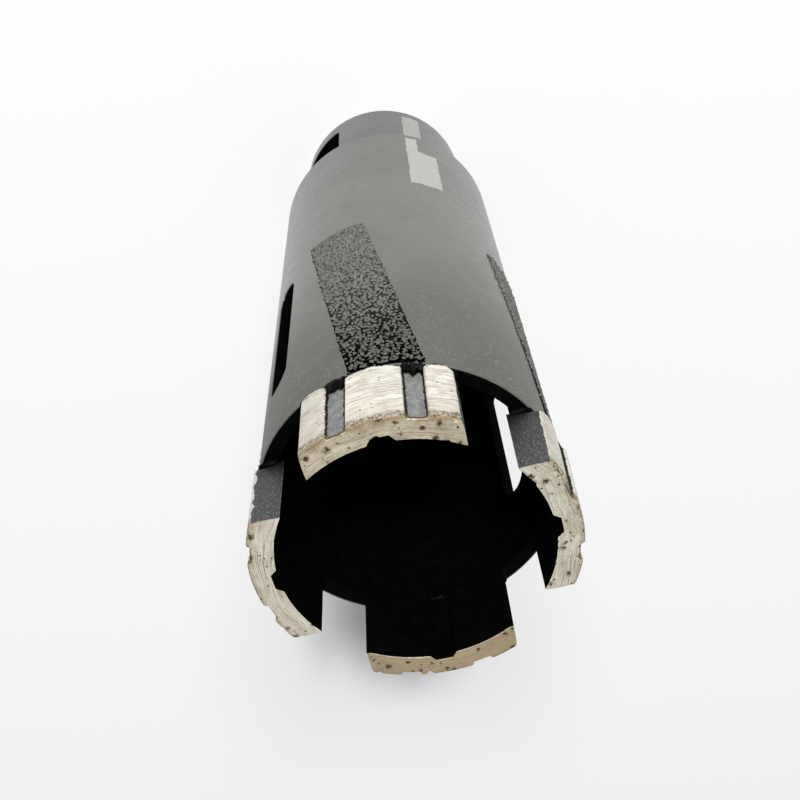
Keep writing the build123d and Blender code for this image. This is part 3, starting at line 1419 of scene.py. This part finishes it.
@dataclass
class Segment:
    """One sintered diamond segment, with its ground ribs, grooves and worn cutting face."""

    number: int
    angle: float
    stand: Stand
    root: float = RIM_HEIGHT
    height: float = SEGMENT_HEIGHT
    outer: float = 25.5
    inner: float = 21.3
    barrel_radius: float = BARREL_RADIUS
    outer_groove_aside: float = GROOVE_ASIDE
    outer_mouth: float = 1.82
    outer_floor: float = 1.42
    outer_depth: float = GROOVE_DEPTH
    inner_mouth: float = 2.1
    inner_floor: float = 1.35
    inner_depth: float = 1.0
    overhang: float = 0.45
    overhang_height: float = 1.6
    crevice: float = 0.35  # how far the joint's crevice lies inside the tube's face
    shoulder_least: float = 0.16
    shoulder_at_ends: float = 0.9
    shoulder_lumps: float = 0.8
    shoulder_grain: float = 0.22
    outer_wear: tuple[float, float] = (0.26, 1.6)  # least wear and depth of the chips
    inner_wear: tuple[float, float] = (0.10, 0.9)
    chip_level: float = 0.30
    face_grain: float = 0.06
    inner_finish: BorePaintAndShade = BorePaintAndShade(name="black_segment_inside_and_painted_shade")

    def finishes(self) -> list[Material]:
        """The segment's finishes, in the order of Skin."""
        number, stand, seed = self.number, self.stand, 3.7 * self.number
        looks = (stand.matrix, stand.browning, stand.pitting, stand.streak)
        made = (
            GroundRibs(f"ground_ribs_{number}", seed),
            CutFace(f"cutting_face_{number}", seed, *looks),
            PaintedSide(f"painted_side_{number}", seed, stand.rubbed_and_highlight),
            self.inner_finish,
        )
        return [finish.material() for finish in made]

    def groove_wall(self, turn: float, sign: int) -> tuple[float, float]:
        """Radii of a groove's bottom and of its side wall, at an angle from the groove's middle."""
        mouth, floor, depth, radius = (
            (self.outer_mouth, self.outer_floor, self.outer_depth, self.outer)
            if sign > 0
            else (self.inner_mouth, self.inner_floor, self.inner_depth, self.inner)
        )
        slope = sign * (mouth - floor) / depth
        side = abs(tan(turn))
        wall = (radius * slope - mouth) / (slope - side) / cos(turn)
        return (radius - sign * depth) / cos(turn), wall

    def outer_face(self, turn: float) -> float:
        """The outer face's radius at an angle from the segment's middle."""
        reach = self.outer_groove_aside / self.outer
        deepest = self.outer
        for middle in (-reach, reach):
            bottom, wall = self.groove_wall(turn - middle, 1)
            deepest = min(deepest, max(bottom, wall))
        return deepest

    def inner_face(self, turn: float) -> float:
        """The inner face's radius at an angle from the segment's middle."""
        bottom, wall = self.groove_wall(turn, -1)
        return max(self.inner, min(bottom, wall))

    def rib_offset(self, aside: float) -> float:
        """How far a place lies from the middle of its own rib, as a share of the rib's half."""
        first = self.outer_groove_aside - self.outer_mouth
        if abs(aside) < first:
            return abs(aside) / first
        last = self.outer_groove_aside + self.outer_mouth
        middle = (last + self.stand.half_width) / 2
        return clamp(abs(abs(aside) - middle) / (self.stand.half_width - middle), 0.0, 1.0)

    def shoulder(self, aside: float) -> float:
        """How high above the rim the outer face begins; the joint below it is a crevice."""
        uneven = lumpy(aside * 0.55, self.number * 5.1, 2.0)
        fine = lumpy(aside * 3.1, self.number * 2.3, 7.0)
        level = self.shoulder_least + self.shoulder_at_ends * self.rib_offset(aside) ** 3.0
        return level + self.shoulder_lumps * max(0.0, uneven) + self.shoulder_grain * fine

    def edge_wear(self, aside: float, outside: bool) -> float:
        """How much is worn or chipped off the cutting face's edge, in mm."""
        row = self.number * 11.7 + (0.0 if outside else 7.3)
        chip = lumpy(aside * 0.95, row, 0.4)
        chip += 0.5 * lumpy(aside * 2.6, row, 1.9)
        least, most = self.outer_wear if outside else self.inner_wear
        return least + most * max(0.0, chip - self.chip_level)

    def place(self, across: float, through: float, up: float) -> tuple[Point, Point]:
        """A point of the segment.

        Args:
            across: From -1 to 1, from side to side.
            through: From 0 at the outer face to 1 at the inner face.
            up: The height above the root, in mm.

        Returns:
            The point in the bit's frame, and its own place: aside, depth and up.
        """
        half = self.stand.half_width
        aside = across * half
        outer_turn, inner_turn = asin(aside / self.outer), asin(aside / self.inner)
        outer_radius, inner_radius = self.outer_face(outer_turn), self.inner_face(inner_turn)
        outer_radius += self.stand.taper * (1.0 - up / self.height)
        shoulder = self.shoulder(aside)
        if up < shoulder:
            dip = self.barrel_radius - self.crevice - min(0.0, self.stand.outwards)
            outer_radius = min(outer_radius, dip + (outer_radius - dip) * ease(up / shoulder))
        radius = outer_radius + (inner_radius - outer_radius) * through
        turn = outer_turn + (inner_turn - outer_turn) * through

        # the side edges are rounded
        faces = ((outer_radius, 1), (inner_radius, -1))
        side_gap = half * (1.0 - abs(across))
        for face_radius, sign in faces:
            short = self.stand.corner - (sign * (face_radius - radius) + side_gap)
            radius -= sign * max(0.0, short) / 2

        # the cutting face's edges are worn and chipped
        top = self.height - up
        for face_radius, sign in faces:
            short = self.edge_wear(aside, sign > 0) - (sign * (face_radius - radius) + top)
            radius -= sign * max(0.0, short) / 2
            top += max(0.0, short) / 2

        # the ground ribs overhang the rim a little
        lip = self.overhang * (1.0 - self.rib_offset(aside) ** 2) * (1.0 - through) ** 8
        top += lip * (1.0 - ease(up / self.overhang_height))
        rough = lumpy(aside * 0.8, radius * 0.8, self.number * 3.0)
        sink = self.face_grain * abs(rough) if up > self.height - 0.01 else 0.0
        height = self.height - top - sink
        worn = self.stand.taper * (1.0 - up / self.height) * (1.0 - through)
        return self.stood(radius, turn, height), (aside, self.outer - radius + worn, up)

    def stood(self, radius: float, turn: float, height: float) -> Point:
        """Moves a place from the segment's drawn seat to where the segment really stands."""
        pivot = (self.outer + self.inner) / 2
        x, y = radius * cos(turn) - pivot, radius * sin(turn)
        x, y = spun(x, y, radians(self.stand.turn))
        x += pivot + self.stand.outwards
        y += self.stand.aside
        return (*spun(x, y, radians(self.angle)), self.root + height)

    def across_stops(self) -> list[float]:
        """Stops from side to side that fall on the grooves' corners."""
        half = self.stand.half_width
        edge = self.stand.corner / half
        marks = [-1.0, -1.0 + edge, -1.0 + edge * 2]
        outer = (self.outer_mouth, self.outer_floor)
        grooves = (
            (-self.outer_groove_aside, outer),
            (0.0, (self.inner_mouth, self.inner_floor)),
            (self.outer_groove_aside, outer),
        )
        for middle, (mouth, floor) in grooves:
            reaches = (mouth + 0.06, mouth, floor, floor - 0.06)
            marks += [(middle - reach) * 0.99 / half for reach in reaches]
            marks += [(middle + reach) * 0.99 / half for reach in reversed(reaches)]
        marks += [1.0 - edge * 2, 1.0 - edge, 1.0]
        step = 0.26 / half
        return joined(*(spaced(low, high, step) for low, high in zip(marks, marks[1:])))

    def sheet(self, draft: MeshDraft, lines: list[list[Point]], skin: Skin) -> None:
        """Adds one side of the segment, given as rows of across, through and up."""
        rows = []
        for line in lines:
            placed = [self.place(*stop) for stop in line]
            rows.append(draft.row([point for point, _ in placed], [spot for _, spot in placed]))
        draft.grid(rows, skin=skin.value)

    def build(self) -> Object:
        """Makes the segment."""
        draft = MeshDraft()
        across = self.across_stops()
        top = self.height
        marks, steps = (0.0, 2.0, top - 1.5, top - 0.4, top), (0.16, 0.7, 0.18, 0.07)
        ups = joined(*map(spaced, marks, marks[1:], steps))
        marks, steps = (0.0, 0.16, 0.84, 1.0), (0.022, 0.07, 0.022)
        through = joined(*map(spaced, marks, marks[1:], steps))
        for depth, skin in ((0.0, Skin.OUTER), (1.0, Skin.INNER)):
            self.sheet(draft, [[(a, depth, up) for a in across] for up in ups], skin)
        for up, skin in ((top, Skin.FACE), (0.0, Skin.INNER)):
            self.sheet(draft, [[(a, t, up) for a in across] for t in through], skin)
        for side in (-1.0, 1.0):
            self.sheet(draft, [[(side, t, up) for t in through] for up in ups], Skin.SIDE)
        piece = draft.to_object(f"segment_{self.number}_block", self.finishes(), crease=38.0)
        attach(piece, ROOT_BODY)
        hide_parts(f"segment_{self.number}")
        return piece


@dataclass
class RootJoint:
    """The rough black braze round a segment's root, with lumps that run up its grooves."""

    number: int
    angle: float
    stand: Stand
    finish: Material
    rim: float = RIM_HEIGHT
    outer_run: float = 24.56
    inner_run: float = 22.5
    groove_aside: float = GROOVE_ASIDE
    groove_half: float = 1.55
    groove_fade: float = 0.45
    step: float = 0.17
    thickness: float = 0.40
    lump_rise: float = 1.15
    lump_width: float = 0.10
    lump_shift: float = 0.34
    least_swell: float = 0.2
    ring_points: int = 12

    def path(self) -> Places:
        """The joint's line round the segment's root, as radius and place aside."""
        half, step = self.stand.half_width + 0.12, self.step
        outer = [(self.outer_run, aside) for aside in spaced(-half, half, step)]
        far = [(radius, half) for radius in spaced(self.outer_run, self.inner_run, step)]
        inner = [(self.inner_run, aside) for aside in spaced(half, -half, step)]
        near = [(radius, -half) for radius in spaced(self.inner_run, self.outer_run, step)]
        return outer + far[1:] + inner[1:] + near[1:-1]

    def in_groove(self, radius: float, aside: float) -> float:
        """1 in the middle of an outer groove's foot, and 0 away from it."""
        if radius < self.outer_run:
            return 0.0
        off = abs(abs(aside) - self.groove_aside)
        return ease((self.groove_half - off) / self.groove_fade + 0.5)

    def ring(self, draft: MeshDraft, index: int, path: Places) -> list[int]:
        """Adds the joint's rough section at one place of its line."""
        radius, aside = path[index]
        groove = self.in_groove(radius, aside)
        back = Vector(path[index - 1])
        ahead = Vector(path[(index + 1) % len(path)])
        along = (ahead - back).normalized()
        out = Vector((along.y, -along.x))
        angle = radians(self.angle)
        points = []
        for corner in range(self.ring_points):
            turn = tau * corner / self.ring_points
            seed = Vector((radius + cos(turn) * 0.7, aside + self.number * 30.0, sin(turn) * 0.9))
            swell = 1.0 + 0.75 * noise.noise(seed * 1.1) + 0.5 * noise.noise(seed * 3.3)
            swell = max(self.least_swell, swell)
            width = (self.thickness + self.lump_width * groove) * swell
            rise = (self.thickness * 0.9 + self.lump_rise * groove) * swell
            middle = Vector((radius + self.lump_shift * groove, aside)) + out * (width * cos(turn))
            flat = sqrt(max(0.0, middle.x**2 - middle.y**2)) if abs(middle.y) < middle.x else 0.0
            x, y = flat + self.stand.outwards * 0.5, middle.y + self.stand.aside
            height = self.rim + 0.1 + rise * (sin(turn) + 0.6 * groove)
            points.append((*spun(x, y, angle), height))
        return draft.row(points)

    def build(self) -> Object:
        """Makes the joint."""
        draft = MeshDraft()
        path = self.path()
        rows = [self.ring(draft, index, path) for index in range(len(path))]
        draft.grid([*rows, rows[0]], closed=True)
        piece = draft.to_object(f"segment_{self.number}_joint", [self.finish], crease=80.0)
        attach(piece, ROOT_BODY)
        return piece


# ---------------------------- side strips


@dataclass
class SideStrip:
    """A slanted strip of crushed carbide grit, brazed to the tube behind a segment."""

    number: int
    angle: float
    finish: Material
    barrel_radius: float = BARREL_RADIUS
    width: float = 12.0
    front: float = 143.0
    length: float = 57.3
    lean: float = 8.9
    front_shift: float = 1.8
    bed: float = 0.13
    bed_step: float = 0.42
    bed_lumps: float = 0.10
    bed_fade: float = 0.5  # how far from its rim the bed reaches its full thickness
    ragged: float = 0.18
    sunk: float = 0.02  # how far the bed reaches into the tube, and the least that it stands out
    grain: float = 0.335
    spacing: float = 0.51
    crush: float = 0.34
    densest: float = 4.0e6  # grains per square metre, before the spacing thins them
    lump_scale: float = 1900.0  # lumps per metre
    grain_scales: tuple[Point, Point] = ((0.80, 0.75, 0.55), (1.50, 1.25, 0.95))
    grain_turns: tuple[Point, Point] = ((-0.5, -0.5, 0.0), (0.5, 0.5, tau))

    def centre_arc(self, height: float) -> float:
        """The strip's middle line at a height, as an arc from the segment's middle."""
        return (self.front - height) * tan(radians(self.lean)) - self.front_shift

    def bed_object(self) -> Object:
        """The uneven layer of braze that holds the grains, as a closed sheet."""
        draft = MeshDraft()
        half = self.width / 2
        outer_rows: list[list[int]] = []
        inner_rows: list[list[int]] = []
        heights = spaced(self.front - self.length, self.front, self.bed_step)
        for height in heights:
            middle = self.centre_arc(height)
            outer: list[Point] = []
            inner: list[Point] = []
            for aside in spaced(-half, half, self.bed_step):
                rim = min(half - abs(aside), height - heights[0], self.front - height)
                ragged = self.ragged * lumpy(height * 0.8, self.number * 9.0, aside)
                turn = radians(self.angle) + (middle + aside + ragged) / self.barrel_radius
                lump = lumpy(aside * 1.1, height * 1.1, self.number * 3.7)
                thick = (self.bed + self.bed_lumps * lump) * ease((rim + 0.15) / self.bed_fade)
                outer.append(polar(self.barrel_radius + max(self.sunk, thick), turn, height))
                inner.append(polar(self.barrel_radius - self.sunk, turn, height))
            outer_rows.append(draft.row(outer))
            inner_rows.append(draft.row(inner))
        draft.grid(outer_rows)
        draft.grid(inner_rows)
        for end in (0, -1):
            draft.bridge(outer_rows[end], inner_rows[end], closed=False)
        for end in (0, -1):
            outer_side, inner_side = ([row[end] for row in rows] for rows in (outer_rows, inner_rows))
            draft.bridge(outer_side, inner_side, closed=False)
        return draft.to_object(f"strip_{self.number}_bed", [self.finish], crease=80.0)

    def tree(self) -> GeometryNodeTree:
        """The nodes that scatter crushed grains over the bed."""
        numbers = ("Spacing", "Grain", "Crush", "Least Radius")
        tree = GrowthTree(f"grit_{self.number}", numbers, seeded=True)
        bed, seed = tree.given("Geometry"), tree.given("Seed")

        # only the bed's outer skin takes grains
        place = {0: tree.add("GeometryNodeInputPosition", {}), 1: (1.0, 1.0, 0.0)}
        flat = tree.add("ShaderNodeVectorMath", place, operation="MULTIPLY")
        length = add_node(tree.tree, "ShaderNodeVectorMath", {0: flat}, operation="LENGTH")
        limits = {0: length.outputs["Value"], 1: tree.given("Least Radius")}
        inputs = {
            "Mesh": bed,
            "Selection": tree.add("ShaderNodeMath", limits, operation="GREATER_THAN"),
            "Distance Min": tree.given("Spacing"),
            "Density Max": self.densest,
            "Seed": seed,
        }
        kind = "GeometryNodeDistributePointsOnFaces"
        scatter = add_node(tree.tree, kind, inputs, distribute_method="POISSON").outputs

        # grains of many sizes, tipped at random
        round_grain = {"Subdivisions": 2, "Radius": tree.given("Grain")}
        ball = tree.add("GeometryNodeMeshIcoSphere", round_grain)
        size, spin = (
            tree.add(
                "FunctionNodeRandomValue", {0: low, 1: high, "Seed": seed}, data_type="FLOAT_VECTOR"
            )
            for low, high in (self.grain_scales, self.grain_turns)
        )
        tipped = {0: scatter["Rotation"], 1: spin}
        inputs = {
            "Points": scatter["Points"],
            "Instance": ball,
            "Rotation": tree.add("FunctionNodeRotateRotation", tipped, rotation_space="LOCAL"),
            "Scale": size,
        }
        laid = tree.add("GeometryNodeInstanceOnPoints", inputs)
        loose = tree.add("GeometryNodeRealizeInstances", {"Geometry": laid})

        # crushed, uneven faces
        lumps = add_node(tree.tree, "ShaderNodeTexNoise", {"Scale": self.lump_scale, "Detail": 1.0})
        centred = {0: lumps.outputs["Color"], 1: (0.5, 0.5, 0.5)}
        push = {0: tree.add("ShaderNodeVectorMath", centred, operation="SUBTRACT")}
        push["Scale"] = tree.given("Crush")
        offset = tree.add("ShaderNodeVectorMath", push, operation="SCALE")
        pushed = tree.add("GeometryNodeSetPosition", {"Geometry": loose, "Offset": offset})
        both = tree.add("GeometryNodeJoinGeometry", {"Geometry": [pushed, bed]})
        return tree.finished(both, self.finish)

    def build(self) -> Object:
        """Makes the strip."""
        values = {
            "Spacing": self.spacing * MM,
            "Grain": self.grain * MM,
            "Crush": self.crush * MM,
            "Least Radius": (self.barrel_radius + 0.03) * MM,
            "Seed": 11 + self.number,
        }
        piece = grown(f"strip_{self.number}_grit", self.bed_object(), self.tree(), values)
        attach(piece, ROOT_BODY)
        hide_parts(f"side_strip_{self.number}")
        return piece


# ---------------------------- stage


@dataclass(frozen=True)
class SoftLamp:
    """A soft lamp, wide or tall, that looks at a point on the bit's axis."""

    name: str
    azimuth: float
    elevation: float
    distance: float
    width: float
    height: float
    power: float
    aim: float = 0.08

    def place(self) -> Object:
        """Makes the lamp."""
        lamp = bpy.data.lights.new(self.name, "AREA")
        lamp.shape = "RECTANGLE"
        lamp.size = self.width
        lamp.size_y = self.height
        lamp.energy = self.power
        holder = linked(self.name, lamp)
        turn, rise = radians(self.azimuth), radians(self.elevation)
        back = Vector((cos(turn) * cos(rise), sin(turn) * cos(rise), sin(rise)))
        holder.location = Vector((0.0, 0.0, self.aim)) + back * self.distance
        holder.rotation_mode = "QUATERNION"
        holder.rotation_quaternion = (-back).to_track_quat("-Z", "Y")
        return holder


@dataclass
class Stage:
    """White floor, white surroundings, soft lamps and the camera."""

    floor_size: float = 6.0
    floor_shade: float = 0.865
    sky: Colour = (1.0, 1.0, 1.0)
    fill: float = 0.205  # how strongly the sky lights the bit, while it's seen at 1
    lens: float = 48.0788
    sensor: float = 36.0
    camera_at: Point = (55.4009, -88.9691, 282.9312)
    camera_right: Point = (-0.884589, -0.464412, 0.042709)
    camera_up: Point = (0.375780, -0.764002, -0.524491)
    lamps: tuple[SoftLamp, ...] = (
        SoftLamp("key_lamp", -61.0, 44.0, distance=4.0, width=0.45, height=0.3, power=138.0),
        SoftLamp("soft_lamp", -61.0, 39.0, distance=4.0, width=1.8, height=0.8, power=84.0),
    )

    def floor(self) -> Object:
        """The white floor, which keeps the bit's shadow."""
        half = self.floor_size / 2
        mesh = bpy.data.meshes.new("floor")
        corners = [(-half, -half, 0.0), (half, -half, 0.0), (half, half, 0.0), (-half, half, 0.0)]
        mesh.from_pydata(corners, [], [(0, 1, 2, 3)])
        floor = linked("floor", mesh)
        card = NodeGraph("white_card")
        shade = (self.floor_shade,) * 3
        mesh.materials.append(card.dress(Base_Color=shade, Roughness=0.9, Specular_IOR_Level=0.0))
        return floor

    def surroundings(self) -> None:
        """White surroundings, seen at full white and lighting the bit more softly."""
        world = bpy.data.worlds.new("white_studio")
        bpy.context.scene.world = world
        world.use_nodes = True
        tree = world.node_tree
        tree.nodes.clear()

        # 1 for rays that show the surroundings to the camera, also by way of gloss or glass
        path = tree.nodes.new("ShaderNodeLightPath").outputs
        seen = path["Is Camera Ray"]
        for ray in ("Is Glossy Ray", "Is Transmission Ray"):
            either = add_node(tree, "ShaderNodeMath", {0: seen, 1: path[ray]}, operation="MAXIMUM")
            seen = either.outputs[0]
        range_of = {"Value": seen, "To Min": self.fill, "To Max": 1.0}
        strength = add_node(tree, "ShaderNodeMapRange", range_of).outputs[0]
        sky = add_node(tree, "ShaderNodeBackground", {"Color": self.sky, "Strength": strength})
        add_node(tree, "ShaderNodeOutputWorld", {"Surface": sky.outputs[0]})

    def camera(self) -> Object:
        """The camera, which looks down past the cutting end to the hub."""
        data = bpy.data.cameras.new("view_camera")
        data.sensor_fit = "HORIZONTAL"
        data.sensor_width = self.sensor
        data.lens = self.lens
        data.clip_start = 0.005
        data.clip_end = 20.0
        camera = linked("view_camera", data)
        right, up = Vector(self.camera_right), Vector(self.camera_up)
        turned = Matrix((right, up, right.cross(up))).transposed()
        camera.matrix_world = Matrix.Translation(Vector(self.camera_at) * MM) @ turned.to_4x4()
        bpy.context.scene.camera = camera
        return camera

    def build(self) -> None:
        """Makes the whole stage."""
        self.floor()
        self.surroundings()
        for lamp in self.lamps:
            lamp.place()
        self.camera()
        bpy.context.scene.view_settings.view_transform = "Standard"


# ---------------------------- the whole bit


@dataclass
class CoreBit:
    """The whole bit, made piece by piece."""

    first_angle: float = 40.7
    barrel_paint: SatinPaint = SatinPaint(
        name="barrel_paint",
        prints=(PrintBlock(-88.5, -71.6, 43.6, 65.0), PrintBlock(-78.0, -71.6, 35.0, 43.9)),
    )
    neck_paint_with_painted_shade: SatinPaint = SatinPaint(
        name="neck_paint_with_painted_shade",
        # the neck's paint is a darker copy of the barrel's: painted shade at the hub end
        colour=(0.046, 0.047, 0.041),
        dusty=(0.074, 0.076, 0.067),
        prints=(PrintBlock(-88.0, -75.0, 3.5, 20.0, 0.7),),
    )
    # each stand's cutting-face matrix colour is partly the metal's own tone and partly painted light:
    # segment 2's is darker as painted shade, segments 1 and 3 lighter as painted light
    stands: tuple[Stand, ...] = (
        Stand(
            outwards=-0.05,
            aside=-0.12,
            half_width=11.75,
            matrix=(0.64, 0.61, 0.51),
            browning=0.28,
            pitting=0.42,
            rubbed_and_highlight=0.34,
        ),
        Stand(
            outwards=0.28,
            aside=-0.18,
            turn=-0.9,
            half_width=11.86,
            matrix=(0.36, 0.285, 0.172),
            browning=0.50,
            pitting=0.95,
            rubbed_and_highlight=0.12,
            streak=0.60,
            corner=0.62,
        ),
        Stand(
            outwards=0.20,
            aside=-0.28,
            turn=0.5,
            half_width=11.95,
            matrix=(0.60, 0.575, 0.475),
            browning=0.34,
            pitting=0.62,
            rubbed_and_highlight=0.14,
            taper=0.45,
        ),
        Stand(
            outwards=-0.42,
            aside=0.36,
            half_width=11.84,
            matrix=(0.57, 0.51, 0.385),
            browning=0.72,
            pitting=0.80,
            rubbed_and_highlight=0.16,
        ),
    )

    def build(self) -> list[Object]:
        """Makes every piece, in order from the tube outwards."""
        tube, hub = Barrel(outside=self.barrel_paint), HubAdapter(outside=self.neck_paint_with_painted_shade)
        parts = [tube, hub, SpindleThread(), WeldBead()]
        joint_finish, grit_finish = BurntBraze().material(), GritPaint().material()
        for index, stand in enumerate(self.stands):
            angle = self.first_angle + index * 360.0 / len(self.stands)
            parts.append(Segment(index + 1, angle, stand))
            parts.append(RootJoint(index + 1, angle, stand, joint_finish))
            parts.append(SideStrip(index + 1, angle, grit_finish))
        return [part.build() for part in parts]


def main() -> None:
    """Builds the bit and its stage."""
    logging.basicConfig(level=logging.INFO, format="%(message)s")
    for piece in CoreBit().build():
        log.info("made %s with %d faces", piece.name, len(piece.data.polygons))
    Stage().build()


if __name__ == "__main__":
    main()
